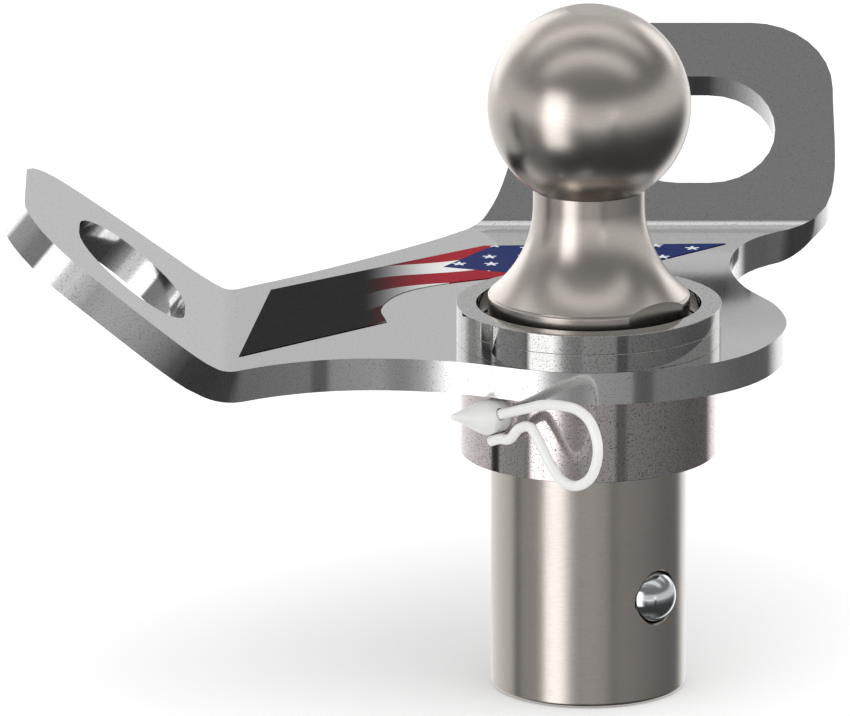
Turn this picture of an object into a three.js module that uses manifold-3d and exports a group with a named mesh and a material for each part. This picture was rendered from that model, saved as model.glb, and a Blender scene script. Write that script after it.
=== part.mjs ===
// Gooseneck hitch ball on a safety chain plate, in millimetres, +Z up.
// The origin is the centre of the shank's bottom face.
// One arm of the plate rises towards -X and the other towards +Y.
// The locking pin and the detent balls lie across the shank, at 45 degrees to the arms.

import * as THREE from "three";
import { mergeVertices } from "three/addons/utils/BufferGeometryUtils.js";
import Module from "manifold-3d";

const wasm = await Module();
wasm.setup();

// Driving dimensions

const fitGap = 0.4; // round the shank in its bores, and between pieces that meet on curved faces
const runningGap = 0.3; // round the pin, the clip and the detent balls

const ballDiameter = 58.74; // 2 5/16 inch
const ballFlatDiameter = 13.4;
const neckDiameter = 32.3;
const neckStraight = 4.8; // from the top of the neck's fillet up to the ball
const neckFillet = 33.6;
const flangeSetback = 2.85; // in from the seat's edge
const flangeRise = 2.7; // above the upper ring
const wrenchFlatDepth = 2.15; // each of the two flats, in from the flange's edge
const seatLedge = 3.8; // out from the shank, to rest on the plate
const seatHeight = 4.5;
const shankDiameter = 56.4;
const shankBelowCollar = 69.9;
const shankChamfer = 1.2;

const plateThickness = 9.5;
const bendInnerRadius = 10;
const armAngle = THREE.MathUtils.degToRad(38.9); // above the flat of the plate
const foldDistance = 103.5; // ball axis to the left arm's fold line, on the top face
const armLength = 75.4; // fold line to tip, along the slope
const armNearWidth = 41.4; // slot centre to the edge that is nearer the ball's front
const leftArmFarWidth = 52;
const rearArmFarWidth = 59;
const armCornerRadius = 24;
const slotWidth = 39; // along the slope
const slotLength = 48.5; // along the fold
const slotToTip = 19.8;
const mirrorOffset = 20; // the flat of the plate is mirrored in the line x + y = 20
const leftSlotCentre = -7.2;
const rearSlotCentre = 31.9;

const ringWall = 5.8;
const ringClearance = 0.5; // between the rings and the seat inside them
const ringHeight = 5.5;
const ringChamfer = 0.4;
const collarWall = 8.5;
const collarHeight = 23.4;
const lobeMargin = 0.1; // the plate's lobe past the collar under it

const crossTurn = THREE.MathUtils.degToRad(-45); // turns the shank's cross bores from the arms
const pinDiameter = 10;
const pinBelowPlate = 1; // from the plate to the pin's side
const pinNoseLength = 13.5;
const pinNoseTip = 0.8;
const pinBendInside = 1.5; // radius at the inside of the pin's bend
const pinLegLength = 24; // pin axis to the end of the bent leg
const pinStraightPastCollar = 5.6; // from the collar to the nose
const pinNoseLift = 3; // the nose is ground askew, with its point above the pin's axis
const clipStandOff = 3.5; // from the collar to the clip's plane

const clipWire = 3;
const clipSlope = THREE.MathUtils.degToRad(19.8);
const clipTail = 8; // past the pin's axis

const detentBallDiameter = 15.88; // 5/8 inch
const detentHeight = 30.8;
const detentRise = 4.2; // the balls' rise above the shank
const detentMouthLip = 0.14; // the mouth's edge, in from the ball's side
const detentMouthChamfer = 0.5;
const springWire = 1.6;
const springTurns = 7;

const decalThickness = 0.15;
const decalGlue = 0.05; // between the film and the plate

// Levels and radii worked out from them

const plateBottom = shankBelowCollar + collarHeight;
const plateTop = plateBottom + plateThickness;
const ringTop = plateTop + 2 * ringHeight;
const flangeTop = ringTop + flangeRise;
const ballRadius = ballDiameter / 2;
const neckRadius = neckDiameter / 2;
const shankRadius = shankDiameter / 2;
const seatRadius = shankRadius + seatLedge;
const flangeRadius = seatRadius - flangeSetback;
const boreRadius = shankRadius + fitGap;
const ringBoreRadius = seatRadius + ringClearance;
const ringRadius = ringBoreRadius + ringWall;
const collarRadius = boreRadius + collarWall;
const lobeRadius = collarRadius + lobeMargin;
const pinRadius = pinDiameter / 2;
const pinBendRadius = pinRadius + pinBendInside;
const pinHeight = plateBottom - pinRadius - pinBelowPlate;
const detentRadius = detentBallDiameter / 2;
const detentMouthRadius = detentRadius - detentMouthLip;
const detentCentre = shankRadius + detentRise - detentRadius;
const clipPlane = collarRadius + clipStandOff;

// Solids

const roundSegments = 48;
const smallSegments = 24;

function solidOf(geometry) {
  const bare = geometry.index ? geometry.toNonIndexed() : geometry.clone();
  bare.deleteAttribute("normal");
  bare.deleteAttribute("uv");
  const merged = mergeVertices(bare, 1e-4);
  const triangles = [];
  for (let i = 0; i < merged.index.count; i += 3) {
    const [a, b, c] = [0, 1, 2].map((k) => merged.index.getX(i + k));
    if (a !== b && b !== c && c !== a) triangles.push(a, b, c);
  }
  return new wasm.Manifold(
    new wasm.Mesh({
      numProp: 3,
      vertProperties: merged.attributes.position.array,
      triVerts: new Uint32Array(triangles),
    }),
  );
}

function meshOf(solid, name, finish) {
  const { numProp, vertProperties, triVerts } = solid.getMesh();
  const points = new Float32Array((vertProperties.length / numProp) * 3);
  for (let i = 0; i < points.length / 3; i++) {
    points.set(vertProperties.subarray(i * numProp, i * numProp + 3), i * 3);
  }
  const geometry = new THREE.BufferGeometry();
  geometry.setAttribute("position", new THREE.BufferAttribute(points, 3));
  geometry.setIndex(new THREE.BufferAttribute(triVerts, 1));
  geometry.computeVertexNormals();
  const mesh = new THREE.Mesh(geometry, finish);
  mesh.name = name;
  return mesh;
}

// A turned solid about +Z from [radius, height] pairs that run up its outside.
function turned(profile, segments = roundSegments, reshape = (geometry) => geometry) {
  const points = profile.map(([r, z]) => new THREE.Vector2(r, z));
  return solidOf(reshape(new THREE.LatheGeometry(points, segments).rotateX(Math.PI / 2)));
}

// Leans what lies past a height over towards +Y.
function skewed(geometry, start, slope) {
  const points = geometry.attributes.position;
  for (let i = 0; i < points.count; i++) {
    points.setY(i, points.getY(i) + slope * Math.max(points.getZ(i) - start, 0));
  }
  return geometry;
}

// A turned ring with chamfered outer edges.
function turnedRing(outerRadius, innerRadius, bottom, top, chamfer) {
  return turned([
    [innerRadius, bottom],
    [outerRadius - chamfer, bottom],
    [outerRadius, bottom + chamfer],
    [outerRadius, top - chamfer],
    [outerRadius - chamfer, top],
    [innerRadius, top],
    [innerRadius, bottom],
  ]);
}

// A rod or drill along X or Y through a point on the Z axis.
function crossRod(radius, from, to, height, along, endRadius = radius) {
  const rod = new THREE.CylinderGeometry(endRadius, radius, to - from, 32);
  rod.translate(0, (from + to) / 2, 0);
  if (along === "x") rod.rotateZ(-Math.PI / 2);
  rod.translate(0, 0, height);
  return solidOf(rod);
}

function boxBetween(low, high) {
  const box = new THREE.BoxGeometry(...high.map((h, i) => h - low[i]));
  box.translate(...high.map((h, i) => (h + low[i]) / 2));
  return solidOf(box);
}

function wireAlong(path, radius, steps, sides) {
  const corners = Array.from({ length: sides }, (_, i) => {
    const angle = (2 * Math.PI * i) / sides;
    return new THREE.Vector2(radius * Math.cos(angle), radius * Math.sin(angle));
  });
  const section = new THREE.Shape(corners);
  const options = { steps, bevelEnabled: false, extrudePath: path };
  return solidOf(new THREE.ExtrudeGeometry(section, options));
}

// Ball stud: one forging, built with its detent bore along X and its pin bore along Y

function ballStud() {
  const filletDrop = Math.sqrt(neckFillet ** 2 - (neckFillet - flangeRadius + neckRadius) ** 2);
  const filletTop = flangeTop + filletDrop;
  const neckTop = filletTop + neckStraight;
  const ballCentre = neckTop + Math.sqrt(ballRadius ** 2 - neckRadius ** 2);
  const profile = [
    [0, 0],
    [shankRadius - shankChamfer, 0],
    [shankRadius, shankChamfer],
    [shankRadius, plateTop],
    [seatRadius, plateTop],
    [seatRadius, plateTop + seatHeight],
    [flangeRadius, plateTop + seatHeight],
  ];
  const filletSteps = 7;
  const filletEnd = Math.asin(filletDrop / neckFillet);
  for (let i = 0; i <= filletSteps; i++) {
    const angle = filletEnd * (1 - i / filletSteps);
    const r = neckRadius + neckFillet * (1 - Math.cos(angle));
    profile.push([r, filletTop - neckFillet * Math.sin(angle)]);
  }
  const ballSteps = 15;
  const lowest = -Math.acos(neckRadius / ballRadius);
  const highest = Math.acos(ballFlatDiameter / ballDiameter);
  for (let i = 0; i <= ballSteps; i++) {
    const angle = lowest + ((highest - lowest) * i) / ballSteps;
    profile.push([ballRadius * Math.cos(angle), ballCentre + ballRadius * Math.sin(angle)]);
  }
  profile.push([0, ballCentre + ballRadius * Math.sin(highest)]);

  let stud = turned(profile);
  for (const side of [-1, 1]) {
    const face = side * (flangeRadius - wrenchFlatDepth);
    const outer = side * 2 * flangeRadius;
    const flatCut = boxBetween(
      [Math.min(face, outer), -flangeRadius, plateTop + seatHeight + 0.5],
      [Math.max(face, outer), flangeRadius, filletTop],
    );
    stud = stud.subtract(flatCut);
  }
  stud = stud.subtract(
    crossRod(pinRadius + runningGap, -collarRadius, collarRadius, pinHeight, "y"),
  );

  const mouth = detentMouthRadius;
  const touch = Math.sqrt((detentRadius + runningGap) ** 2 - mouth ** 2);
  const pocketEnd = detentCentre + touch;
  const reach = shankRadius + 5;
  stud = stud.subtract(
    crossRod(detentRadius + runningGap, -pocketEnd, pocketEnd, detentHeight, "x"),
  );
  stud = stud.subtract(crossRod(mouth, -reach, reach, detentHeight, "x"));
  const flareStart = shankRadius - detentMouthChamfer;
  const flareEnd = shankRadius + detentMouthChamfer;
  const flare = mouth + 2 * detentMouthChamfer;
  stud = stud.subtract(crossRod(mouth, flareStart, flareEnd, detentHeight, "x", flare));
  return stud.subtract(crossRod(flare, -flareEnd, -flareStart, detentHeight, "x", mouth));
}

// Chain plate: a flat pattern with two arms, bent up along two fold lines

const bendLength = armAngle * (bendInnerRadius + plateThickness / 2);
const bendSetback = bendInnerRadius * Math.tan(armAngle / 2);
const bendGain = bendLength - 2 * bendSetback; // the flat pattern's extra length at a bend
const bendSteps = 7;
const leftBendStart = -foldDistance + bendSetback;
const rearBendStart = mirrorOffset + foldDistance - bendSetback;

// Outline points are [out, across]: out from the ball axis towards the arm, across to its far side.
// Past the fold, an arm's points are [along the slope, from the slot's centre].
function leftSide([out, across]) {
  return [-out, across];
}
function rearSide([out, across]) {
  return [mirrorOffset - across, mirrorOffset + out];
}
function leftArm([along, across]) {
  return [-(foldDistance + bendGain + along), leftSlotCentre + across];
}
function rearArm([along, across]) {
  return [rearSlotCentre - across, mirrorOffset + foldDistance + bendGain + along];
}

// The lobe round the ball and the notch beside the arm's root, from the mirror line outwards.
const nearFlat = [
  [-33, 8.7 - lobeRadius],
  [-7, -lobeRadius],
  [16, 2.4 - lobeRadius],
  [0.36 * foldDistance, -25.8],
  [0.55 * foldDistance, -22],
  [0.72 * foldDistance, -23],
  [0.88 * foldDistance, -29],
];
const nearArm = [
  [1.5, 8 - armNearWidth],
  [8, 2.5 - armNearWidth],
  [18, -armNearWidth],
  [armLength - armCornerRadius, -armNearWidth],
];

// The arm's far edge runs at a slant from the tip to the fold.
function farArm(width) {
  return [
    [armLength, slotLength / 2 - 5],
    [armLength - 3, slotLength / 2 + 3],
    [armLength - 10, 0.66 * width],
    [0.6 * armLength, 0.81 * width],
    [0.34 * armLength, 0.91 * width],
    [9, width],
  ];
}
const farFlat = [
  [foldDistance - 6.5, 59],
  [foldDistance - 22, 72.3],
];

function smoothThrough(points, steps) {
  const knots = points.map(([x, y]) => new THREE.Vector3(x, y, 0));
  const curve = new THREE.CatmullRomCurve3(knots, false, "centripetal");
  return curve.getSpacedPoints(steps).map(({ x, y }) => [x, y]);
}

function nearCorner() {
  const steps = 8;
  const points = [];
  for (let i = 1; i <= steps; i++) {
    const angle = (Math.PI / 2) * (i / steps);
    const along = armLength - armCornerRadius * (1 - Math.sin(angle));
    points.push([along, -armNearWidth + armCornerRadius * (1 - Math.cos(angle))]);
  }
  return points;
}

function plateOutline() {
  const near = [
    ...nearArm.map(leftArm).reverse(),
    ...nearFlat.map(leftSide).reverse(),
    ...nearFlat.map(rearSide),
    ...nearArm.map(rearArm),
  ];
  const far = [
    ...farArm(rearArmFarWidth).map(rearArm),
    ...farFlat.map(rearSide),
    ...farFlat.map(leftSide).reverse(),
    ...farArm(leftArmFarWidth).map(leftArm).reverse(),
  ];
  return [
    ...smoothThrough(near, 88),
    ...nearCorner().map(rearArm),
    ...smoothThrough(far, 80),
    ...nearCorner().map(leftArm).reverse(),
  ];
}

function circleHole(radius) {
  const points = [];
  for (let i = 0; i < roundSegments; i++) {
    const angle = (-2 * Math.PI * i) / roundSegments;
    points.push([radius * Math.cos(angle), radius * Math.sin(angle)]);
  }
  return points;
}

// A slot with round ends, across the arm.
function slotHole(arm) {
  const radius = slotWidth / 2;
  const along = armLength - slotToTip - radius;
  const offset = slotLength / 2 - radius;
  const steps = 14;
  const points = [];
  for (const end of [1, -1]) {
    for (let i = 0; i <= steps; i++) {
      const angle = Math.PI * (i / steps);
      points.push(
        arm([along + end * radius * Math.cos(angle), end * (offset + radius * Math.sin(angle))]),
      );
    }
  }
  return points;
}

function clockwise(points) {
  const flat = points.map(([x, y]) => new THREE.Vector2(x, y));
  return THREE.ShapeUtils.isClockWise(flat) ? points : points.slice().reverse();
}

// The part of a polygon where sign * (coordinate - limit) >= 0.
function clipped(points, axis, limit, sign) {
  const kept = [];
  points.forEach((point, i) => {
    const next = points[(i + 1) % points.length];
    const here = sign * (point[axis] - limit);
    const there = sign * (next[axis] - limit);
    if (here >= 0) kept.push(point);
    if (here * there < 0) {
      const share = here / (here - there);
      const crossing = point.map((value, k) => value + share * (next[k] - value));
      crossing[axis] = limit;
      kept.push(crossing);
    }
  });
  return kept;
}

// Distance out from a bend's start, and height over the plate's underside, to the bent place.
function bent(distance, height) {
  const centreHeight = plateThickness + bendInnerRadius;
  const radius = centreHeight - height;
  const angle = armAngle * Math.min(distance / bendLength, 1);
  const past = Math.max(distance - bendLength, 0);
  return [
    radius * Math.sin(angle) + past * Math.cos(armAngle),
    centreHeight - radius * Math.cos(angle) + past * Math.sin(armAngle),
  ];
}

function placed([x, y], height) {
  if (x < leftBendStart) {
    const [out, up] = bent(leftBendStart - x, height);
    return [leftBendStart - out, y, plateBottom + up];
  }
  if (y > rearBendStart) {
    const [out, up] = bent(y - rearBendStart, height);
    return [x, rearBendStart + out, plateBottom + up];
  }
  return [x, y, plateBottom + height];
}

function chainPlate() {
  const outline = plateOutline();
  const regions = [];
  const cuts = [];
  const flat = clipped(clipped(outline, 0, leftBendStart, 1), 1, rearBendStart, -1);
  regions.push({ contour: flat, holes: [circleHole(boreRadius)] });
  for (const [axis, start, sign, arm] of [
    [0, leftBendStart, -1, leftArm],
    [1, rearBendStart, 1, rearArm],
  ]) {
    for (let i = 0; i <= bendSteps; i++) {
      const near = start + (sign * bendLength * i) / bendSteps;
      const far = start + (sign * bendLength * (i + 1)) / bendSteps;
      cuts.push([axis, near]);
      const beyond = clipped(outline, axis, near, sign);
      const isArm = i === bendSteps;
      regions.push({
        contour: isArm ? beyond : clipped(beyond, axis, far, -sign),
        holes: isArm ? [clockwise(slotHole(arm))] : [],
      });
    }
  }

  const positions = [];
  const addFace = (corners) => corners.forEach((corner) => positions.push(...corner));
  const addWall = (a, b) => {
    const [lowA, lowB] = [placed(a, 0), placed(b, 0)];
    const [highA, highB] = [placed(a, plateThickness), placed(b, plateThickness)];
    addFace([lowA, lowB, highB]);
    addFace([lowA, highB, highA]);
  };
  const onCut = (a, b) => cuts.some(([axis, at]) => a[axis] === at && b[axis] === at);
  for (const { contour, holes } of regions) {
    const toVectors = (points) => points.map(([x, y]) => new THREE.Vector2(x, y));
    const faces = THREE.ShapeUtils.triangulateShape(toVectors(contour), holes.map(toVectors));
    const all = [contour, ...holes].flat();
    for (const face of faces) {
      addFace(face.map((i) => placed(all[i], plateThickness)));
      addFace([...face].reverse().map((i) => placed(all[i], 0)));
    }
    for (const loop of [contour, ...holes]) {
      loop.forEach((a, i) => {
        const b = loop[(i + 1) % loop.length];
        if (!onCut(a, b)) addWall(a, b);
      });
    }
  }
  const geometry = new THREE.BufferGeometry();
  geometry.setAttribute("position", new THREE.Float32BufferAttribute(positions, 3));
  return solidOf(geometry);
}

// Collar under the plate, with the pin's bore along Y

function collar() {
  const ring = turnedRing(
    collarRadius,
    boreRadius,
    shankBelowCollar,
    plateBottom,
    ringChamfer,
  );
  return ring.subtract(
    crossRod(pinRadius + runningGap, -2 * collarRadius, 2 * collarRadius, pinHeight, "y"),
  );
}

// Locking pin: a bent rod in its own frame, nose towards +Z, bent leg towards -Y

function lockingPin() {
  const coneStart = collarRadius + pinStraightPastCollar;
  const bendStart = -(collarRadius + 1);
  const shaft = turned(
    [
      [0, bendStart],
      [pinRadius, bendStart],
      [pinRadius, coneStart + 0.01],
      [0, coneStart + 0.01],
    ],
    smallSegments,
  );
  const nose = turned(
    [
      [0, coneStart],
      [pinRadius, coneStart],
      [pinRadius * 0.6, coneStart + pinNoseLength * 0.45],
      [pinNoseTip, coneStart + pinNoseLength - 0.5],
      [0, coneStart + pinNoseLength],
    ],
    smallSegments,
    (geometry) => skewed(geometry, coneStart, pinNoseLift / pinNoseLength),
  );
  const route = new THREE.CurvePath();
  const steps = 12;
  const centre = new THREE.Vector3(0, -pinBendRadius, bendStart);
  const points = [new THREE.Vector3(0, 0, bendStart + 1)];
  for (let i = 0; i <= steps; i++) {
    const angle = (Math.PI / 2) * (i / steps);
    const offset = new THREE.Vector3(0, Math.cos(angle), -Math.sin(angle));
    points.push(centre.clone().addScaledVector(offset, pinBendRadius));
  }
  points.push(new THREE.Vector3(0, -pinLegLength, bendStart - pinBendRadius));
  for (let i = 1; i < points.length; i++) {
    route.add(new THREE.LineCurve3(points[i - 1], points[i]));
  }
  const leg = wireAlong(route, pinRadius, 16, smallSegments);
  const hole = new THREE.CylinderGeometry(
    clipWire / 2 + runningGap,
    clipWire / 2 + runningGap,
    3 * pinDiameter,
    16,
  );
  hole.rotateZ(clipSlope - Math.PI / 2);
  hole.translate(0, 0, clipPlane);
  return shaft.add(nose).add(leg).subtract(solidOf(hole));
}

// Hairpin clip: one wire in the plane across the pin, its straight leg through the pin

function hairpinClip() {
  const legPoint = (along) => [along * Math.cos(clipSlope), along * Math.sin(clipSlope)];
  const saddle = pinRadius + clipWire / 2 + runningGap;
  const route = [
    ...[-clipTail, -3, 2, 7, 12, 17, 22].map(legPoint),
    [28.5, 8.9],
    [35.6, 8.9],
    [40.4, 6.6],
    [43.3, 1.5],
    [43.5, -4],
    [40.6, -10.3],
    [35, -13.7],
    [29.3, -13.2],
    [24.6, -9.4],
    [20.1, -3.6],
    [16.4, 0.1],
    [12, -1.2],
    [8, 1.7 - saddle],
    [4.3, 1.1 - saddle],
    [0.6, -0.35 - saddle],
  ];
  const knots = route.map(([x, y]) => new THREE.Vector3(x, y, clipPlane));
  const curve = new THREE.CatmullRomCurve3(knots, false, "centripetal");
  return wireAlong(curve, clipWire / 2, 84, 8);
}

// Detent spring: a coil between the two detent balls

class Coil extends THREE.Curve {
  constructor(radius, length, turns) {
    super();
    Object.assign(this, { radius, length, turns });
  }
  getPoint(share, target = new THREE.Vector3()) {
    const angle = 2 * Math.PI * this.turns * share;
    const along = this.length * (share - 0.5);
    return target.set(along, this.radius * Math.cos(angle), this.radius * Math.sin(angle));
  }
}

function detentSpring() {
  const coilRadius = 0.72 * detentRadius;
  const touch = Math.sqrt(detentRadius ** 2 - coilRadius ** 2);
  const halfLength = detentCentre - touch - springWire / 2 - runningGap;
  const coil = new Coil(coilRadius, 2 * halfLength, springTurns);
  return wireAlong(coil, springWire / 2, springTurns * 10, 6);
}

function detentBall() {
  return solidOf(new THREE.SphereGeometry(detentRadius, 20, 12));
}

// Decal: a thin film on the plate's flat, kept off the rings

function decal() {
  const curveTop = smoothThrough(
    [
      [21, 86.5],
      [-8, 74],
      [-41.4, 60.5],
      [-54, 50],
      [-60, 33],
      [-58.3, 18],
    ],
    24,
  );
  const outline = [
    [-0.974 * foldDistance, -20],
    [-0.89 * foldDistance, 53.4],
    [-30, mirrorOffset + foldDistance - 20.5],
    [41, mirrorOffset + foldDistance - 18],
    ...curveTop,
  ];
  const shape = new THREE.Shape(outline.map(([x, y]) => new THREE.Vector2(x, y)));
  const film = new THREE.ExtrudeGeometry(shape, { depth: decalThickness, bevelEnabled: false });
  return solidOf(film.translate(0, 0, plateTop + decalGlue));
}

// Finishes

const forgedSteel = new THREE.MeshStandardMaterial({
  color: 0x9c958f,
  metalness: 1,
  roughness: 0.3,
});
const nickelPlate = new THREE.MeshStandardMaterial({
  color: 0xb4b3b0,
  metalness: 1,
  roughness: 0.15,
});
const zincPin = new THREE.MeshStandardMaterial({
  color: 0xd9d9d6,
  metalness: 0.8,
  roughness: 0.35,
});
const chromeBall = new THREE.MeshStandardMaterial({
  color: 0xc6cacc,
  metalness: 1,
  roughness: 0.05,
});
const springSteel = new THREE.MeshStandardMaterial({
  color: 0x6c6c6c,
  metalness: 1,
  roughness: 0.4,
});
const printedFilm = new THREE.MeshStandardMaterial({
  color: 0x23242c,
  metalness: 0,
  roughness: 0.35,
});

// Assembly

const hitch = new THREE.Group();
hitch.add(meshOf(chainPlate(), "chain_plate", nickelPlate));

const rings = ["lower_ring", "upper_ring"];
rings.forEach((name, i) => {
  const bottom = plateTop + i * ringHeight;
  const ring = turnedRing(ringRadius, ringBoreRadius, bottom, bottom + ringHeight, ringChamfer);
  hitch.add(meshOf(ring, name, nickelPlate));
});
hitch.add(meshOf(decal(), "decal", printedFilm));

const acrossShank = new THREE.Group();
acrossShank.rotation.z = crossTurn;
acrossShank.add(meshOf(ballStud(), "ball_stud", forgedSteel));
acrossShank.add(meshOf(collar(), "collar", nickelPlate));

const detentRow = new THREE.Group();
detentRow.position.z = detentHeight;
detentRow.add(meshOf(detentSpring(), "detent_spring", springSteel));
for (const [name, side] of [
  ["detent_ball_front", 1],
  ["detent_ball_back", -1],
]) {
  const ball = meshOf(detentBall(), name, chromeBall);
  ball.position.x = side * detentCentre;
  detentRow.add(ball);
}
acrossShank.add(detentRow);

const pinRow = new THREE.Group();
pinRow.position.z = pinHeight;
pinRow.rotation.x = Math.PI / 2; // the pin's nose points to local -Y
pinRow.add(meshOf(lockingPin(), "locking_pin", zincPin));
pinRow.add(meshOf(hairpinClip(), "hairpin_clip", zincPin));
acrossShank.add(pinRow);
hitch.add(acrossShank);

export default hitch;
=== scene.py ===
# Gooseneck hitch ball on a safety chain plate, dressed in its real finishes.
# Lengths are written in millimetres and turned to metres where a mesh is made.
# The frame's origin is the centre of the shank's bottom face, with +Z up the shank.

import math

import bmesh
import bpy
from mathutils import Matrix, Vector


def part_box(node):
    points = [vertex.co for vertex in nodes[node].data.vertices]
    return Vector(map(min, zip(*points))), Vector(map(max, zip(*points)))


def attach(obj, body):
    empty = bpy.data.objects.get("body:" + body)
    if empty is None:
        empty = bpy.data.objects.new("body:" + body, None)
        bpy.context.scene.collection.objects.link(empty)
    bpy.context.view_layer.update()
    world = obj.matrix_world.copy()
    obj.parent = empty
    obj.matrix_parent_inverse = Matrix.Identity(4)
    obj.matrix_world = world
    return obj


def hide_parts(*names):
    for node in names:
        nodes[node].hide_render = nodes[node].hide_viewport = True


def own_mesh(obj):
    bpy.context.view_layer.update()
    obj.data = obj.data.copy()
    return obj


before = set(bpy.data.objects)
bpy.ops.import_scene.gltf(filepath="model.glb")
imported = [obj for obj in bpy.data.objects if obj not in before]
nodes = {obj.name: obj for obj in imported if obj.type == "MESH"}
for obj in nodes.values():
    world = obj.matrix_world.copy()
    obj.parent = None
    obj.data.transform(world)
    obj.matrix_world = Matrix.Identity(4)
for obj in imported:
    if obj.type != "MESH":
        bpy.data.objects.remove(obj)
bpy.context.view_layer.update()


# Ball stud: one steel forging, turned all over: ball, neck, flange, seat and shank.
# It is plated with satin nickel. Two wrench flats are milled on the flange,
# and two bores are drilled across the shank: one for the pin, one for the detent.

MM = 0.001
CROSS = Matrix.Rotation(math.radians(-45), 4, "Z")  # the shank's bores lie between the arms

ball_radius = 58.74 / 2
ball_flat_radius = 6.7
neck_radius = 16.15
neck_straight = 4.8
fillet_radius = 33.6
fillet_overrun = 1.2  # degrees
flange_radius = 29.15
flange_rise = 2.7
flange_round = 0.5
seat_radius = 32.0
seat_height = 4.5
shank_radius = 28.2
shank_chamfer = 1.2
flat_depth = 2.15
running_gap = 0.3

plate_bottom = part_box("collar")[1].z / MM
plate_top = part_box("lower_ring")[0].z / MM
ring_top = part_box("upper_ring")[1].z / MM
flange_top = ring_top + flange_rise


def linear(hex_colour):
    """An sRGB hex colour as the linear colour that a shader takes."""
    shares = [int(hex_colour[i : i + 2], 16) / 255 for i in (1, 3, 5)]
    curved = [s / 12.92 if s <= 0.04045 else ((s + 0.055) / 1.055) ** 2.4 for s in shares]
    return (*curved, 1.0)


def add(tree, kind, links=None, **settings):
    """Adds a node with its settings. links gives an input a value or another node's output."""
    node = tree.nodes.new(kind)
    for name, value in settings.items():
        setattr(node, name, value)
    for name, value in (links or {}).items():
        if isinstance(value, bpy.types.NodeSocket):
            tree.links.new(value, node.inputs[name])
        else:
            node.inputs[name].default_value = value
    return node


def new_material(name):
    """An empty material: its tree, its shader and its place on the object."""
    material = bpy.data.materials.new(name)
    material.use_nodes = True
    tree = material.node_tree
    tree.nodes.clear()
    shader = add(tree, "ShaderNodeBsdfPrincipled")
    add(tree, "ShaderNodeOutputMaterial", {"Surface": shader.outputs["BSDF"]})
    place = add(tree, "ShaderNodeTexCoord").outputs["Object"]
    return material, tree, shader, place


def per_mm(size):
    """The texture scale at which a pattern's grain measures this many millimetres."""
    return 1 / (size * MM)


def new_piece(name, vertices, faces):
    """A mesh object from points in millimetres, with its faces turned outwards."""
    mesh = bpy.data.meshes.new(name)
    mesh.from_pydata([Vector(v) * MM for v in vertices], [], faces)
    mesh.validate()
    piece = bpy.data.objects.new(name, mesh)
    bpy.context.scene.collection.objects.link(piece)
    model = bmesh.new()
    model.from_mesh(mesh)
    bmesh.ops.recalc_face_normals(model, faces=model.faces)
    model.to_mesh(mesh)
    model.free()
    return piece


def turned(name, profile, segments=192):
    """A turned solid about Z from [radius, height] pairs, closed at the axis or on itself."""
    vertices = []
    rows = []
    for radius, height in profile:
        count = segments if radius > 0 else 1
        rows.append(range(len(vertices), len(vertices) + count))
        for i in range(count):
            angle = 2 * math.pi * i / segments
            vertices.append((radius * math.cos(angle), radius * math.sin(angle), height))
    closed = profile[0][0] > 0
    pairs = list(zip(rows, rows[1:] + rows[:1] if closed else rows[1:]))
    faces = []
    for low, high in pairs:
        for i in range(segments):
            j = (i + 1) % segments
            corners = [low[i % len(low)], low[j % len(low)], high[j % len(high)], high[i % len(high)]]
            faces.append(tuple(dict.fromkeys(corners)))
    return new_piece(name, vertices, faces)


def arc(centre, radius, start, end, steps):
    """Profile points on an arc about (radius, height), from start to end in degrees."""
    angles = [math.radians(start + (end - start) * i / steps) for i in range(steps + 1)]
    return [(centre[0] + radius * math.cos(a), centre[1] + radius * math.sin(a)) for a in angles]


def rod(name, radius, start, end, segments=96):
    """A round bar from one point to another, in millimetres."""
    axis = Vector(end) - Vector(start)
    bar = turned(name, [(0, 0), (radius, 0), (radius, axis.length), (0, axis.length)], segments)
    turn = axis.to_track_quat("Z", "Y").to_matrix().to_4x4()
    bar.data.transform(Matrix.Translation(Vector(start) * MM) @ turn)
    return bar


def set_mesh(piece, mesh):
    """Gives a piece its finished mesh and takes its modifiers off."""
    piece.modifiers.clear()
    piece.data = mesh


def finished(piece):
    """The piece's mesh with its modifiers applied."""
    bpy.context.view_layer.update()
    evaluated = piece.evaluated_get(bpy.context.evaluated_depsgraph_get())
    return bpy.data.meshes.new_from_object(evaluated)


def cut(piece, *tools):
    """Takes each tool's solid away from the piece."""
    for tool in tools:
        saw = piece.modifiers.new("cut", "BOOLEAN")
        saw.operation = "DIFFERENCE"
        saw.solver = "EXACT"
        saw.object = tool
        set_mesh(piece, finished(piece))
        bpy.data.objects.remove(tool)


def shade(piece, material, angle=14):
    """One material, smooth but for edges sharper than the angle, with flats kept flat."""
    piece.data.materials.clear()
    piece.data.materials.append(material)
    piece.data.shade_smooth()
    piece.data.set_sharp_from_angle(angle=math.radians(angle))
    weighting = piece.modifiers.new("flats", "WEIGHTED_NORMAL")
    weighting.weight = 80
    weighting.keep_sharp = True
    set_mesh(piece, finished(piece))


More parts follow.
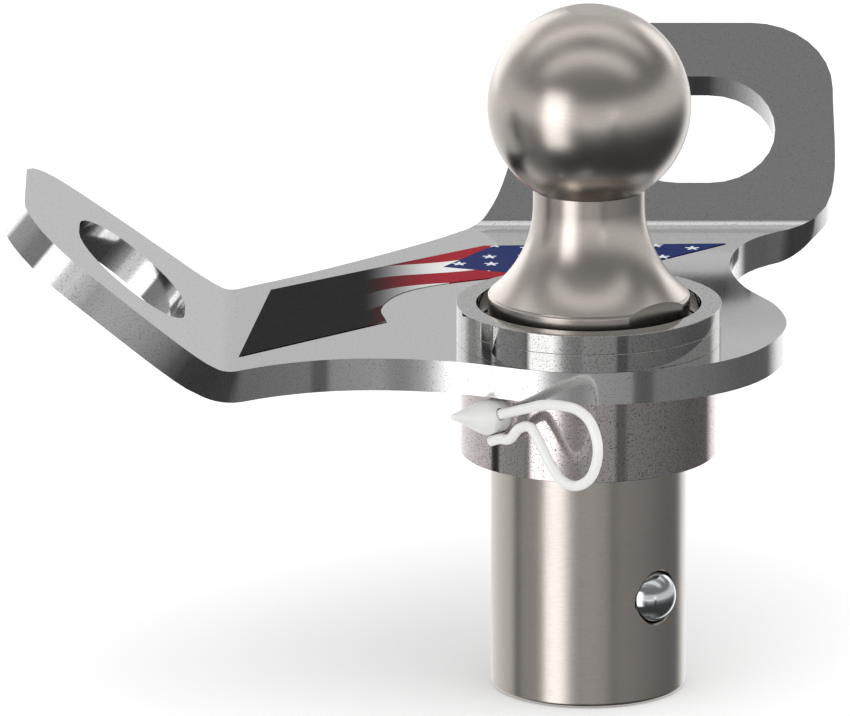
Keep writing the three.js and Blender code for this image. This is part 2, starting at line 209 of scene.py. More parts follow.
fillet_drop = math.sqrt(fillet_radius**2 - (fillet_radius - flange_radius + neck_radius) ** 2)
fillet_top = flange_top + fillet_drop
neck_top = fillet_top + neck_straight
ball_centre = neck_top + math.sqrt(ball_radius**2 - neck_radius**2)
ball_start = -math.degrees(math.acos(neck_radius / ball_radius))
ball_end = math.degrees(math.acos(ball_flat_radius / ball_radius))
fillet_end = 180 + math.degrees(math.asin(fillet_drop / fillet_radius))
stud_profile = [(0, 0)]
stud_profile += arc((shank_radius - shank_chamfer, shank_chamfer), shank_chamfer, -90, 0, steps=6)
stud_profile += [
    (shank_radius, plate_top),
    (seat_radius, plate_top),
    (seat_radius, plate_top + seat_height),
    (flange_radius, plate_top + seat_height),
]
flange_edge = (flange_radius - flange_round, flange_top - flange_round)
stud_profile += arc(flange_edge, flange_round, 0, 75, steps=4)
fillet_centre = (neck_radius + fillet_radius, fillet_top)
stud_profile += arc(fillet_centre, fillet_radius, fillet_end - fillet_overrun, 180, steps=24)
stud_profile += arc((0, ball_centre), ball_radius, ball_start, ball_end, steps=56)
stud_profile.append((0, ball_centre + ball_radius * math.sin(math.radians(ball_end))))
ball_stud = turned("ball_stud_visual", stud_profile)

wrench_face = flange_radius - flat_depth
milling_reach = 40.0
milling_lift = 0.5
for side in (-1, 1):
    inner, outer = side * wrench_face, side * 2 * flange_radius
    low, high = plate_top + seat_height + milling_lift, fillet_top
    ends = (-milling_reach, milling_reach)
    corners = [(x, y, z) for x in (inner, outer) for y in ends for z in (low, high)]
    walls = [(0, 1, 3, 2), (4, 5, 7, 6), (0, 1, 5, 4), (2, 3, 7, 6), (0, 2, 6, 4), (1, 3, 7, 5)]
    milling = new_piece("milling", corners, walls)
    milling.data.transform(CROSS)
    cut(ball_stud, milling)

pin_radius = 5.0
pin_below_plate = 1.0
pin_height = plate_bottom - pin_radius - pin_below_plate
across_shank = CROSS.to_3x3() @ Vector((1, 0, 0))
along_pin = CROSS.to_3x3() @ Vector((0, -1, 0))
up = Vector((0, 0, 1))
bore_reach = 45.0
pin_axis = up * pin_height


def pin_drill():
    """The drill that opens the locking pin's bore."""
    half = along_pin * bore_reach
    return rod("drill", pin_radius + running_gap, pin_axis - half, pin_axis + half)


cut(ball_stud, pin_drill())

detent_radius = 15.88 / 2
detent_height = 30.8
detent_axis = up * detent_height
detent_rise = 4.2
detent_centre = shank_radius + detent_rise - detent_radius
mouth_lip = 0.14
mouth_radius = detent_radius - mouth_lip
mouth_flare = 0.5
pocket_radius = detent_radius + running_gap
pocket_end = detent_centre + math.sqrt(pocket_radius**2 - mouth_radius**2)
bore_half = [
    (pocket_radius, pocket_end),
    (mouth_radius, pocket_end),
    (mouth_radius, shank_radius - mouth_flare),
    (mouth_radius + 2 * mouth_flare, shank_radius + mouth_flare),
    (mouth_radius + 2 * mouth_flare, bore_reach),
]
bore_profile = [(0, -bore_reach)]
bore_profile += [(radius, -reach) for radius, reach in reversed(bore_half)]
bore_profile += [*bore_half, (0, bore_reach)]
detent_drill = turned("drill", bore_profile, segments=96)
turn = across_shank.to_track_quat("Z", "Y").to_matrix().to_4x4()
detent_drill.data.transform(Matrix.Translation(detent_axis * MM) @ turn)
cut(ball_stud, detent_drill)

# Satin nickel on turned steel: warm grey, with soft reflections and a faint turned grain.
satin_nickel, tree, shader, place = new_material("satin_nickel_plate")
turning = add(tree, "ShaderNodeMapping", {"Vector": place, "Scale": (1, 1, 6)})
grain = add(
    tree,
    "ShaderNodeTexNoise",
    {"Vector": turning.outputs["Vector"], "Scale": per_mm(2.4), "Detail": 3.0},
)
clouds = add(tree, "ShaderNodeTexNoise", {"Vector": place, "Scale": per_mm(26), "Detail": 2.0})
rough = add(
    tree,
    "ShaderNodeMapRange",
    {"Value": clouds.outputs["Fac"], "To Min": 0.22, "To Max": 0.29},
)
tint = add(
    tree,
    "ShaderNodeMix",
    {
        "Factor": grain.outputs["Fac"],
        "A": linear("#C4BBB4"),
        "B": linear("#D0C9C2"),
    },
    data_type="RGBA",
)
relief = add(
    tree,
    "ShaderNodeBump",
    {"Height": grain.outputs["Fac"], "Strength": 0.05, "Distance": 0.02 * MM},
)
shader.inputs["Metallic"].default_value = 1.0
tree.links.new(tint.outputs["Result"], shader.inputs["Base Color"])
tree.links.new(rough.outputs["Result"], shader.inputs["Roughness"])
tree.links.new(relief.outputs["Normal"], shader.inputs["Normal"])

shade(ball_stud, satin_nickel)
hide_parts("ball_stud")
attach(ball_stud, "hitch")


# Chain plate: 9.5 mm steel plate, flame cut to its outline, with its two arms bent up.
# It is plated with bright nickel, so its cut edges mirror the room,
# and fine pits in the steel show through the plate as dark specks.

edge_break = 0.3
corner_angle = 50
weld = 0.002
plate_mesh = nodes["chain_plate"].data.copy()
chain_plate = bpy.data.objects.new("chain_plate_visual", plate_mesh)
bpy.context.scene.collection.objects.link(chain_plate)
model = bmesh.new()
model.from_mesh(plate_mesh)
bmesh.ops.remove_doubles(model, verts=model.verts, dist=weld * MM)
bmesh.ops.dissolve_limit(
    model, angle_limit=math.radians(0.05), verts=model.verts, edges=model.edges
)
model.to_mesh(plate_mesh)
model.free()
rounding = chain_plate.modifiers.new("edges", "BEVEL")
rounding.width = edge_break * MM
rounding.segments = 2
rounding.limit_method = "ANGLE"
rounding.angle_limit = math.radians(corner_angle)


def bright_nickel(name, light, dark, speck, roughness, pit_level):
    """Bright nickel over steel with fine pits: a mirror with a dark speckle.
    speck is the pits' size in mm, drawn coarser than the real pits so that they show,
    and more of the face is pitted as pit_level rises."""
    material, tree, shader, place = new_material(name)
    pits = add(tree, "ShaderNodeTexNoise", {"Vector": place, "Scale": per_mm(speck), "Detail": 1.0})
    spots = add(
        tree,
        "ShaderNodeMapRange",
        {"Value": pits.outputs["Fac"], "From Min": pit_level - 0.1, "From Max": pit_level},
    )
    tint = add(
        tree,
        "ShaderNodeMix",
        {"Factor": spots.outputs["Result"], "A": linear(dark), "B": linear(light)},
        data_type="RGBA",
    )
    polish = add(
        tree,
        "ShaderNodeMapRange",
        {"Value": spots.outputs["Result"], "To Min": roughness * 2, "To Max": roughness},
    )
    relief = add(
        tree,
        "ShaderNodeBump",
        {"Height": spots.outputs["Result"], "Strength": 0.02, "Distance": 0.02 * MM},
    )
    shader.inputs["Metallic"].default_value = 1.0
    tree.links.new(tint.outputs["Result"], shader.inputs["Base Color"])
    tree.links.new(polish.outputs["Result"], shader.inputs["Roughness"])
    tree.links.new(relief.outputs["Normal"], shader.inputs["Normal"])
    return material


plate_nickel = bright_nickel("bright_nickel_on_plate", "#D4D4D4", "#A4A2A0", 0.4, 0.09, 0.4)
set_mesh(chain_plate, finished(chain_plate))
shade(chain_plate, plate_nickel, angle=30)
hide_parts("chain_plate")
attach(chain_plate, "hitch")


# Rings: two plain steel rings stacked on the plate round the stud's seat.
# Each is turned from bar, with broken edges, and plated with bright nickel.


def turned_ring(name, outer, inner, bottom, top, chamfer):
    """A turned ring with its four edges rounded."""
    profile = arc((outer - chamfer, bottom + chamfer), chamfer, -90, 0, steps=4)
    profile += arc((outer - chamfer, top - chamfer), chamfer, 0, 90, steps=4)
    profile += arc((inner + chamfer, top - chamfer), chamfer, 90, 180, steps=4)
    profile += arc((inner + chamfer, bottom + chamfer), chamfer, 180, 270, steps=4)
    return turned(name, profile)


ring_outer = 38.3
ring_inner = 32.5
ring_edge = 0.15
ring_nickel = bright_nickel("bright_nickel_on_rings", "#BEBEBD", "#868584", 0.4, 0.04, 0.42)
for name in ("lower_ring", "upper_ring"):
    low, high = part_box(name)
    ring = turned_ring(
        name + "_visual", ring_outer, ring_inner, low.z / MM, high.z / MM, ring_edge
    )
    shade(ring, ring_nickel, angle=30)
    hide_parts(name)
    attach(ring, "hitch")


# Collar: a thick steel sleeve under the plate that stops the stud in its socket.
# The locking pin passes through its cross bore. It is turned, drilled and plated.

collar_outer = 37.1
collar_inner = 28.6
collar = turned_ring(
    "collar_visual",
    collar_outer,
    collar_inner,
    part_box("collar")[0].z / MM,
    plate_bottom,
    ring_edge,
)
cut(collar, pin_drill())
collar_nickel = bright_nickel("bright_nickel_on_collar", "#D8CFCF", "#8A8180", 0.4, 0.09, 0.44)
shade(collar, collar_nickel, angle=30)
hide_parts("collar")
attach(collar, "hitch")


# Locking pin: a bent steel rod that holds the stud in the plate and collar.
# Its nose is ground to a point, and a small hole behind the nose takes the clip.
# It is zinc plated, pale and even.

nose_start = collar_outer + 5.6
nose_length = 13.5
nose_lift = 3.0
shoulder_length = 0.45 * nose_length
shoulder_radius = 0.6 * pin_radius
shoulder_curve = 1.15
tip_radius = 0.8
tip_length = 0.5
bend_start = -(collar_outer + 1)
bend_radius = 6.5
leg_length = 24.0
leg_chamfer = 0.6
clip_plane = collar_outer + 3.5
clip_slope = math.radians(19.8)
wire_radius = 1.5


def pin_rings():
    """Rings along the pin from its leg's end: distance along the pin, height, lean and radius."""
    bend_steps, shoulder_steps, point_steps = 20, 12, 8
    leg_along = bend_start - bend_radius
    rings = [(leg_along, -leg_length, 90, pin_radius - leg_chamfer)]
    rings.append((leg_along, leg_chamfer - leg_length, 90, pin_radius))
    for i in range(bend_steps + 1):
        lean = 90 - 90 * i / bend_steps
        angle = math.radians(lean)
        along = bend_start - bend_radius * math.sin(angle)
        rings.append((along, bend_radius * (math.cos(angle) - 1), lean, pin_radius))
    rings.append((nose_start, 0, 0, pin_radius))
    for i in range(1, shoulder_steps + 1):
        share = i / shoulder_steps
        along = shoulder_length * share
        radius = pin_radius + (shoulder_radius - pin_radius) * share**shoulder_curve
        rings.append((nose_start + along, nose_lift * along / nose_length, 0, radius))
    for i in range(1, point_steps + 1):
        share = i / point_steps
        along = shoulder_length + (nose_length - tip_length - shoulder_length) * share
        radius = shoulder_radius + (tip_radius - shoulder_radius) * share
        rings.append((nose_start + along, nose_lift * along / nose_length, 0, radius))
    tip = nose_start + nose_length
    rings.append((tip - 0.3 * tip_length, nose_lift, 0, 0.5 * tip_radius))
    return rings, (tip, nose_lift)


rings, tip = pin_rings()
sides = 64
vertices = []
for along, height, lean, radius in rings:
    centre = along_pin * along + up * (pin_height + height)
    tilt = math.radians(lean)
    raised = up * math.cos(tilt) - along_pin * math.sin(tilt)
    for i in range(sides):
        angle = 2 * math.pi * i / sides
        side = across_shank * math.cos(angle) + raised * math.sin(angle)
        vertices.append(centre + side * radius)
faces = [tuple(range(sides))]
for row in range(len(rings) - 1):
    for i in range(sides):
        a, b = row * sides + i, row * sides + (i + 1) % sides
        faces.append((a, b, b + sides, a + sides))
vertices.append(along_pin * tip[0] + up * (pin_height + tip[1]))
last = (len(rings) - 1) * sides
for i in range(sides):
    faces.append((last + i, last + (i + 1) % sides, len(vertices) - 1))
locking_pin = new_piece("locking_pin_visual", vertices, faces)

hole_reach = 12.0
clip_way = across_shank * math.cos(clip_slope) + up * math.sin(clip_slope)
clip_centre = pin_axis + along_pin * clip_plane
half = clip_way * hole_reach
cut(locking_pin, rod("drill", wire_radius + running_gap, clip_centre - half, clip_centre + half))


def zinc_plate(name, colour, shadow, roughness):
    """Pale zinc plate on steel: even and softly bright, with faint clouds."""
    material, tree, shader, place = new_material(name)
    clouds = add(tree, "ShaderNodeTexNoise", {"Vector": place, "Scale": per_mm(5), "Detail": 4.0})
    tint = add(
        tree,
        "ShaderNodeMix",
        {"Factor": clouds.outputs["Fac"], "A": linear(shadow), "B": linear(colour)},
        data_type="RGBA",
    )
    rough = add(
        tree,
        "ShaderNodeMapRange",
        {
            "Value": clouds.outputs["Fac"],
            "To Min": roughness - 0.05,
            "To Max": roughness + 0.05,
        },
    )
    fine = add(tree, "ShaderNodeTexNoise", {"Vector": place, "Scale": per_mm(0.5)})
    relief = add(
        tree,
        "ShaderNodeBump",
        {"Height": fine.outputs["Fac"], "Strength": 0.1, "Distance": 0.02 * MM},
    )
    shader.inputs["Metallic"].default_value = 0.1
    tree.links.new(tint.outputs["Result"], shader.inputs["Base Color"])
    tree.links.new(rough.outputs["Result"], shader.inputs["Roughness"])
    tree.links.new(relief.outputs["Normal"], shader.inputs["Normal"])
    return material


pin_zinc = zinc_plate("zinc_plate_on_pin", "#F0F0EF", "#E4E4E2", 0.38)
shade(locking_pin, pin_zinc, angle=25)
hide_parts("locking_pin")
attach(locking_pin, "pin")


# Hairpin clip: one length of 3 mm spring wire that keeps the pin in.
# Its straight leg goes through the pin's hole and its bent leg grips under the pin.


def wire_tree():
    """Geometry Nodes that draw a round wire along a line of points."""
    tree = bpy.data.node_groups.new("wire", "GeometryNodeTree")
    face = tree.interface
    face.new_socket("Geometry", in_out="INPUT", socket_type="NodeSocketGeometry")
    face.new_socket("Wire Diameter", in_out="INPUT", socket_type="NodeSocketFloat")
    face.new_socket("Sides", in_out="INPUT", socket_type="NodeSocketInt")
    face.new_socket("Finish", in_out="INPUT", socket_type="NodeSocketMaterial")
    face.new_socket("Geometry", in_out="OUTPUT", socket_type="NodeSocketGeometry")
    given = add(tree, "NodeGroupInput").outputs
    line = add(tree, "GeometryNodeMeshToCurve", {"Mesh": given["Geometry"]})
    half = add(
        tree, "ShaderNodeMath", {0: given["Wire Diameter"], 1: 0.5}, operation="MULTIPLY"
    )
    section = add(
        tree,
        "GeometryNodeCurvePrimitiveCircle",
        {"Resolution": given["Sides"], "Radius": half.outputs["Value"]},
    )
    wire = add(
        tree,
        "GeometryNodeCurveToMesh",
        {
            "Curve": line.outputs["Curve"],
            "Profile Curve": section.outputs["Curve"],
            "Fill Caps": True,
        },
    )
    real = add(tree, "GeometryNodeRealizeInstances", {"Geometry": wire.outputs["Mesh"]})
    coated = add(
        tree,
        "GeometryNodeSetMaterial",
        {"Geometry": real.outputs["Geometry"], "Material": given["Finish"]},
    )
    add(tree, "NodeGroupOutput", {"Geometry": coated.outputs["Geometry"]})
    return tree


wire_nodes = wire_tree()


def wire_piece(name, points, diameter, sides, finish):
    """A finished wire through points in millimetres, drawn by the wire nodes."""
    mesh = bpy.data.meshes.new(name)
    steps = [(i, i + 1) for i in range(len(points) - 1)]
    mesh.from_pydata([Vector(p) * MM for p in points], steps, [])
    piece = bpy.data.objects.new(name, mesh)
    bpy.context.scene.collection.objects.link(piece)
    draw = piece.modifiers.new("wire", "NODES")
    draw.node_group = wire_nodes
    values = {"Wire Diameter": diameter * MM, "Sides": sides, "Finish": finish}
    for item in wire_nodes.interface.items_tree:
        if item.in_out == "INPUT" and item.name in values:
            draw[item.identifier] = values[item.name]
    set_mesh(piece, finished(piece))
    shade(piece, finish, angle=60)
    return piece


def smooth_route(knots, per_span):
    """Points on a centripetal Catmull-Rom curve through the knots."""
    first = knots[0] * 2 - knots[1]
    last = knots[-1] * 2 - knots[-2]
    padded = [first, *knots, last]
    points = []
    for i in range(len(knots) - 1):
        a, b, c, d = padded[i : i + 4]
        t1 = (b - a).length ** 0.5
        t2 = t1 + (c - b).length ** 0.5
        t3 = t2 + (d - c).length ** 0.5
        for k in range(per_span):
            t = t1 + (t2 - t1) * k / per_span
            ab = a.lerp(b, t / t1)
            bc = b.lerp(c, (t - t1) / (t2 - t1))
            cd = c.lerp(d, (t - t2) / (t3 - t2))
            abc = ab.lerp(bc, t / t2)
            bcd = bc.lerp(cd, (t - t1) / (t3 - t1))
            points.append(abc.lerp(bcd, (t - t1) / (t2 - t1)))
    return [*points, knots[-1].copy()]


# The knots lie in the clip's plane, as steps across the shank and up from the pin's hole.
saddle = pin_radius + wire_radius + running_gap
leg_reaches = (-8, -3, 2, 7, 12, 17, 22)
clip_leg = [(s * math.cos(clip_slope), s * math.sin(clip_slope)) for s in leg_reaches]
clip_loop = [
    (28.5, 8.9),
    (35.6, 8.9),
    (40.4, 6.6),
    (43.3, 1.5),
    (43.5, -4),
    (40.6, -10.3),
    (35, -13.7),
    (29.3, -13.2),
    (24.6, -9.4),
    (20.1, -3.6),
    (16.4, 0.1),
    (12, -1.2),
    (8, 1.7 - saddle),
    (4.3, 1.1 - saddle),
    (0.6, -0.35 - saddle),
]
clip_knots = [clip_centre + across_shank * x + up * y for x, y in clip_leg + clip_loop]
wire_zinc = zinc_plate("zinc_plate_on_wire", "#F0F0EF", "#E7E7E6", 0.36)
clip_route = smooth_route(clip_knots, per_span=9)
hairpin_clip = wire_piece(
    "hairpin_clip_visual", clip_route, 2 * wire_radius, sides=28, finish=wire_zinc
)
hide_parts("hairpin_clip")
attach(hairpin_clip, "clip")


# Detent balls and spring: two 5/8 inch bearing balls held apart by a coil spring.
# The balls are hardened and polished to a mirror; the spring is drawn wire, left bare.

# Polished chrome steel: a cold, near perfect mirror with a faint haze.
chrome_steel, tree, shader, place = new_material("polished_chrome_steel")
haze = add(tree, "ShaderNodeTexNoise", {"Vector": place, "Scale": per_mm(4), "Detail": 3.0})
polish = add(
    tree,
    "ShaderNodeMapRange",
    {"Value": haze.outputs["Fac"], "To Min": 0.02, "To Max": 0.07},
)
tint = add(
    tree,
    "ShaderNodeMix",
    {"Factor": haze.outputs["Fac"], "A": linear("#C9D0D2"), "B": linear("#DBE0E1")},
    data_type="RGBA",
)
shader.inputs["Metallic"].default_value = 1.0
tree.links.new(tint.outputs["Result"], shader.inputs["Base Color"])
tree.links.new(polish.outputs["Result"], shader.inputs["Roughness"])

for name, side in (("front", 1), ("back", -1)):
    half_circle = arc((0, 0), detent_radius, -90, 90, steps=40)
    half_circle[0], half_circle[-1] = (0, -detent_radius), (0, detent_radius)
    ball = turned(f"detent_ball_{name}_visual", half_circle, segments=96)
    seat = detent_axis + across_shank * (side * detent_centre)
    ball.data.transform(Matrix.Translation(seat * MM))
    shade(ball, chrome_steel, angle=60)
    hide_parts(f"detent_ball_{name}")
    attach(ball, f"{name}_detent")

# Drawn spring steel: dark grey and half dull, with streaks of scale.
drawn_wire, tree, shader, place = new_material("drawn_spring_steel")
scale = add(tree, "ShaderNodeTexNoise", {"Vector": place, "Scale": per_mm(0.6), "Detail": 3.0})
tint = add(
    tree,
    "ShaderNodeMix",
    {"Factor": scale.outputs["Fac"], "A": linear("#5C5C5D"), "B": linear("#828284")},
    data_type="RGBA",
)
shader.inputs["Metallic"].default_value = 1.0
shader.inputs["Roughness"].default_value = 0.4
tree.links.new(tint.outputs["Result"], shader.inputs["Base Color"])

# The coil is made as two halves, one running out from the middle to each ball.
spring_wire = 1.6
spring_turns = 7
turn_steps = 36
coil_share = 0.72
coil_radius = coil_share * detent_radius
coil_touch = math.sqrt(detent_radius**2 - coil_radius**2)
coil_half = detent_centre - coil_touch - spring_wire / 2 - running_gap
across_bore = across_shank.cross(up)
half_steps = spring_turns * turn_steps // 2
for name, side in (("front", 1), ("back", -1)):
    coil = []
    for i in range(half_steps + 1):
        angle = side * 2 * math.pi * i / turn_steps
        around = (across_bore * math.cos(angle) + up * math.sin(angle)) * coil_radius
        along = across_shank * (side * coil_half * i / half_steps)
        coil.append(detent_axis + along + around)
    spring = wire_piece(
        f"detent_spring_{name}_half", coil, spring_wire, sides=12, finish=drawn_wire
    )
    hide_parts("detent_spring")
    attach(spring, "hitch")
    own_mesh(spring)


# Decal: a thin printed vinyl film on the flat of the plate, curved round the rings.
# A black field runs into wavy red and white stripes and a blue field of stars.

decal_mesh = nodes["decal"].data.copy()
decal = bpy.data.objects.new("decal_visual", decal_mesh)
bpy.context.scene.collection.objects.link(decal)
model = bmesh.new()
model.from_mesh(decal_mesh)
bmesh.ops.remove_doubles(model, verts=model.verts, dist=weld * MM)
bmesh.ops.dissolve_limit(
    model, angle_limit=math.radians(0.5), verts=model.verts, edges=model.edges
)
model.to_mesh(decal_mesh)
model.free()

# Printed vinyl: full, even inks under a smooth semi-gloss face.
printed_vinyl, tree, shader, place = new_material("printed_vinyl")


def sum_up(kind, a, b=0.0):
    """One step of arithmetic in the tree at hand."""
    return add(tree, "ShaderNodeMath", {0: a, 1: b}, operation=kind).outputs["Value"]


def ink(mask, under, over):
    """Lays one ink over another where the mask is 1."""
    mix = add(tree, "ShaderNodeMix", {"Factor": mask, "A": under, "B": over}, data_type="RGBA")
    return mix.outputs["Result"]


slant = math.radians(33)
wave_length = 70.0
wave_height = 4.0
stripe_pitch = 24.0
first_stripe = 73.0
wedge_line = 89.0
wedge_slope = 1.2
wedge_tip = -42.0
star_pitch = 10.0
star_middle = 0.15
star_arm = 0.07
fade_start = -66.0
fade_end = -40.0
turned_place = add(
    tree,
    "ShaderNodeMapping",
    {"Vector": place, "Rotation": (0, 0, -slant), "Scale": (1 / MM, 1 / MM, 1 / MM)},
)
axes = add(tree, "ShaderNodeSeparateXYZ", {"Vector": turned_place.outputs["Vector"]}).outputs
straight = add(
    tree, "ShaderNodeMapping", {"Vector": place, "Scale": (1 / MM, 1 / MM, 1 / MM)}
)
flat = add(tree, "ShaderNodeSeparateXYZ", {"Vector": straight.outputs["Vector"]}).outputs
wave_phase = sum_up("MULTIPLY", axes["X"], 2 * math.pi / wave_length)
wave = sum_up("MULTIPLY", sum_up("SINE", wave_phase), wave_height)
across_stripes = sum_up("ADD", axes["Y"], wave)
from_first = sum_up("SUBTRACT", across_stripes, first_stripe)
stripe_share = sum_up("FRACT", sum_up("DIVIDE", from_first, stripe_pitch))
white_stripe = sum_up("GREATER_THAN", stripe_share, 0.5)
stripes = ink(white_stripe, linear("#A01426"), linear("#E9E9E9"))
off_line = sum_up("ABSOLUTE", sum_up("SUBTRACT", axes["Y"], wedge_line))
wedge = sum_up("SUBTRACT", flat["X"], sum_up("MULTIPLY", off_line, wedge_slope))
in_blue = sum_up("GREATER_THAN", wedge, wedge_tip)
cells = add(
    tree,
    "ShaderNodeTexVoronoi",
    {"Vector": straight.outputs["Vector"], "Scale": 1 / star_pitch, "Randomness": 0.35},
    voronoi_dimensions="2D",
)
star_place = add(
    tree,
    "ShaderNodeVectorMath",
    {0: straight.outputs["Vector"], 1: cells.outputs["Position"]},
    operation="SUBTRACT",
)
local = add(tree, "ShaderNodeSeparateXYZ", {"Vector": star_place.outputs["Vector"]}).outputs
star_angle = sum_up("ARCTAN2", local["X"], local["Y"])
star_points = sum_up("COSINE", sum_up("MULTIPLY", star_angle, 5.0))
star_edge = sum_up("ADD", sum_up("MULTIPLY", star_points, star_arm), star_middle)
stars = sum_up("LESS_THAN", cells.outputs["Distance"], star_edge)
blue_field = ink(stars, linear("#1B2A66"), linear("#E4E6EC"))
flag = ink(in_blue, stripes, blue_field)
fade = add(
    tree,
    "ShaderNodeMapRange",
    {"Value": flat["X"], "From Min": fade_start, "From Max": fade_end},
    interpolation_type="SMOOTHSTEP",
)
print_colour = ink(fade.outputs["Result"], linear("#030303"), flag)
tree.links.new(print_colour, shader.inputs["Base Color"])
fibres = add(tree, "ShaderNodeTexNoise", {"Vector": place, "Scale": per_mm(1.5), "Detail": 2.0})
gloss = add(
    tree,
    "ShaderNodeMapRange",
    {"Value": fibres.outputs["Fac"], "To Min": 0.34, "To Max": 0.46},
)
tree.links.new(gloss.outputs["Result"], shader.inputs["Roughness"])
shader.inputs["Specular IOR Level"].default_value = 0.02
shade(decal, printed_vinyl, angle=30)
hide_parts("decal")
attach(decal, "hitch")


# Studio: a pale floor in a white cove, which alone shows behind the hitch and lights paint.
# The metal mirrors a room with a tall softbox to the front left, strip lights overhead,
# side panels and a lamp, and with cards set low round the hitch that give it its bands.

floor_reach = 6.0
floor_drop = 0.0004
floor_corners = [
    (x * floor_reach, y * floor_reach, -floor_drop) for x, y in ((-1, -1), (1, -1), (1, 1), (-1, 1))
]
floor_mesh = bpy.data.meshes.new("floor")
floor_mesh.from_pydata(floor_corners, [], [(0, 1, 2, 3)])
floor = bpy.data.objects.new("floor", floor_mesh)
bpy.context.scene.collection.objects.link(floor)
# Matt floor paint: near white, with a little glow of its own that keeps the shadow pale.
floor_paint, tree, shader, place = new_material("floor_paint")
shader.inputs["Base Color"].default_value = linear("#FAFAFA")
shader.inputs["Roughness"].default_value = 0.9
shader.inputs["Specular IOR Level"].default_value = 0.0
shader.inputs["Emission Color"].default_value = linear("#FFFFFF")
shader.inputs["Emission Strength"].default_value = 0.18
floor.data.materials.append(floor_paint)
floor.visible_glossy = False

world = bpy.data.worlds.new("studio")
bpy.context.scene.world = world
world.use_nodes = True
tree = world.node_tree
tree.nodes.clear()
way = add(tree, "ShaderNodeTexCoord").outputs["Generated"]
parts = add(tree, "ShaderNodeSeparateXYZ", {"Vector": way}).outputs
towards_camera = sum_up("MULTIPLY", parts["Y"], -1.0)
bearing = sum_up("ARCTAN2", parts["X"], towards_camera)
bearing_share = sum_up("ADD", sum_up("DIVIDE", bearing, 2 * math.pi), 0.5)
height = sum_up("ARCSINE", parts["Z"])
height_share = sum_up("ADD", sum_up("DIVIDE", height, math.pi), 0.5)


def ramp(share, stops):
    """Brightness along a share from 0 to 1, from (share, brightness) stops."""
    node = add(tree, "ShaderNodeValToRGB", {"Fac": share})
    keys = node.color_ramp.elements
    while len(keys) > 1:
        keys.remove(keys[-1])
    keys[0].position, first = stops[0]
    keys[0].color = (first, first, first, 1)
    for place_on, value in stops[1:]:
        key = keys.new(place_on)
        key.color = (value, value, value, 1)
    return node.outputs["Color"]


def by_height(*stops):
    """Brightness by elevation above the floor, from (degrees, brightness) stops."""
    return ramp(height_share, [((degrees + 90) / 180, value) for degrees, value in stops])


def by_bearing(*stops):
    """Brightness by the angle to the right of the front, from (degrees, brightness) stops."""
    return ramp(bearing_share, [((degrees + 180) / 360, value) for degrees, value in stops])


front = by_height(
    (-90, 0.03), (-80, 0.25), (-70, 0.12), (-60, 0.05), (-26, 0.07), (-14, 0.2), (-4, 0.75),
    (10, 0.7), (20, 0.22), (40, 0.22), (54, 0.34), (64, 0.4), (80, 0.34), (90, 0.22),
)
back = by_height(
    (-90, 0.03), (-80, 0.1), (-60, 0.7), (-30, 1.3), (-10, 1.3), (2, 0.68), (15, 0.64),
    (30, 0.72), (60, 0.6), (80, 0.36), (90, 0.22),
)
is_back = by_bearing(
    (-180, 1.0), (-150, 0.75), (-120, 0.5), (-98, 0.36), (-82, 0.14), (-62, 0.1), (-54, 0.0),
    (132, 0.0), (146, 0.8), (160, 1.0),
)
room = add(tree, "ShaderNodeMix", {"Factor": is_back, "A": front, "B": back}, data_type="RGBA")
box_across = by_bearing((-56, 0.0), (-52, 1.0), (-32, 1.0), (-22, 0.15), (-14, 0.0))
box_along = by_height((-38, 0.0), (-31, 1.0), (20, 1.0), (28, 0.0))
softbox = sum_up("MULTIPLY", box_across, box_along)

# Two arched strip lights overhead, a panel behind on each side, and one small lamp.
off_middle = sum_up("ABSOLUTE", parts["Y"])
arch_across = ramp(off_middle, [(0.1, 0.0), (0.26, 1.0), (0.38, 1.0), (0.54, 0.0)])
arch_along = by_height((30, 0.0), (44, 1.0))
arches = sum_up("MULTIPLY", arch_across, arch_along)
left_across = by_bearing((-173, 0.0), (-168, 1.0), (-140, 1.0), (-128, 0.0))
left_along = by_height((-8, 0.0), (-2, 1.0), (26, 1.0), (34, 0.0))
left_panel = sum_up("MULTIPLY", left_across, left_along)
right_across = by_bearing((131, 0.0), (141, 1.0), (156, 1.0), (161, 0.0))
right_along = by_height((2, 0.0), (8, 1.0), (24, 1.0), (32, 0.0))
right_panel = sum_up("MULTIPLY", right_across, right_along)
panels = sum_up("ADD", left_panel, right_panel)
lamp_way = (0.454, -0.89, 0.028)
near_lamp = add(tree, "ShaderNodeVectorMath", {0: way, 1: lamp_way}, operation="DOT_PRODUCT")
lamp = ramp(near_lamp.outputs["Value"], [(0.988, 0.0), (0.999, 1.0)])

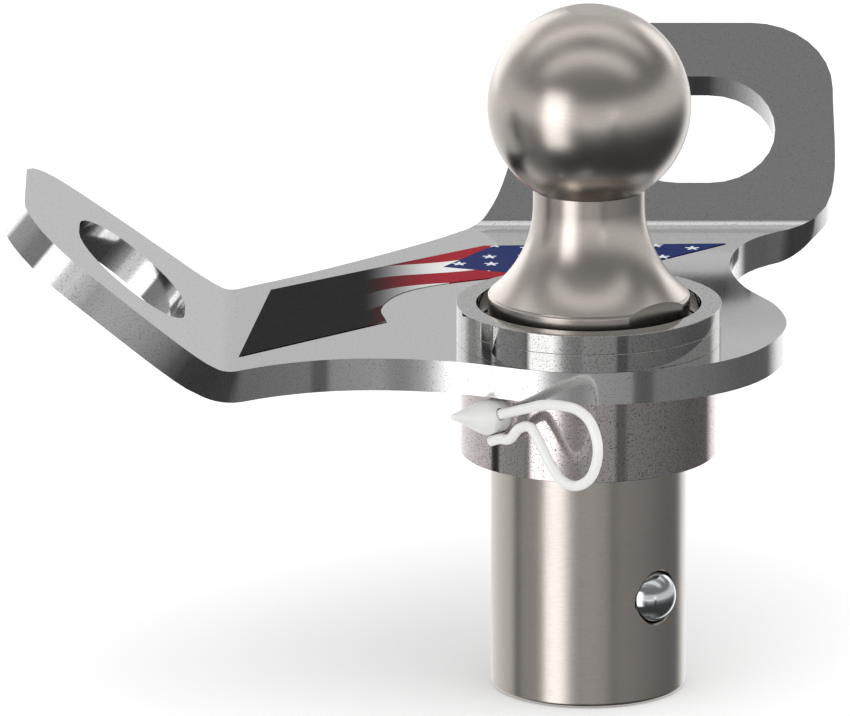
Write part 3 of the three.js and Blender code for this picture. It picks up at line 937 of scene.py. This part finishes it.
glow = 0.0
for light, brightness in ((softbox, 1.7), (arches, 0.55), (panels, 0.9), (lamp, 0.5)):
    glow = sum_up("ADD", glow, sum_up("MULTIPLY", light, brightness))
cards = by_bearing(
    (-99, 1.0), (-98, 0.06), (-89, 0.06), (-88, 1.0), (-30, 1.0), (-14, 1.7), (-8, 1.7),
    (-4, 2.2), (8, 2.0), (23, 1.8), (25, 0.7), (33, 0.7), (35, 1.3), (60, 1.1), (100, 0.75),
    (125, 0.75), (140, 1.0),
)
below = by_height((-36, 0.0), (-26, 1.0), (-9, 1.0), (-3, 0.0))
screened = add(
    tree,
    "ShaderNodeMix",
    {"Factor": below, "A": room.outputs["Result"], "B": cards},
    data_type="RGBA",
    blend_type="MULTIPLY",
)
lit = add(
    tree,
    "ShaderNodeMix",
    {"Factor": 1.0, "A": screened.outputs["Result"], "B": glow},
    data_type="RGBA",
    blend_type="ADD",
)
ray = add(tree, "ShaderNodeLightPath").outputs
plain = sum_up("MAXIMUM", ray["Is Camera Ray"], ray["Is Diffuse Ray"])
cove = 1.1
seen = add(
    tree,
    "ShaderNodeMix",
    {"Factor": plain, "A": lit.outputs["Result"], "B": (cove, cove, cove, 1.0)},
    data_type="RGBA",
)
background = add(tree, "ShaderNodeBackground", {"Color": seen.outputs["Result"], "Strength": 1.0})
add(tree, "ShaderNodeOutputWorld", {"Surface": background.outputs["Background"]})


# Camera: a long lens far off in front of the hitch, looking down on it by 15 degrees.

view_width = 245.4
lens = 900.0
sensor = 36.0
target = Vector((-47.26, 0, 96.98)) * MM
elevation = math.radians(15.3)
distance = lens / sensor * view_width * MM
toward_camera = Vector((0, -math.cos(elevation), math.sin(elevation)))
camera_data = bpy.data.cameras.new("camera")
camera_data.lens = lens
camera_data.sensor_width = sensor
camera_data.clip_end = 100.0
camera = bpy.data.objects.new("camera", camera_data)
camera.location = target + toward_camera * distance
camera.rotation_euler = toward_camera.to_track_quat("Z", "Y").to_euler()
bpy.context.scene.collection.objects.link(camera)
bpy.context.scene.camera = camera
bpy.context.scene.view_settings.view_transform = "Standard"

bpy.context.view_layer.update()
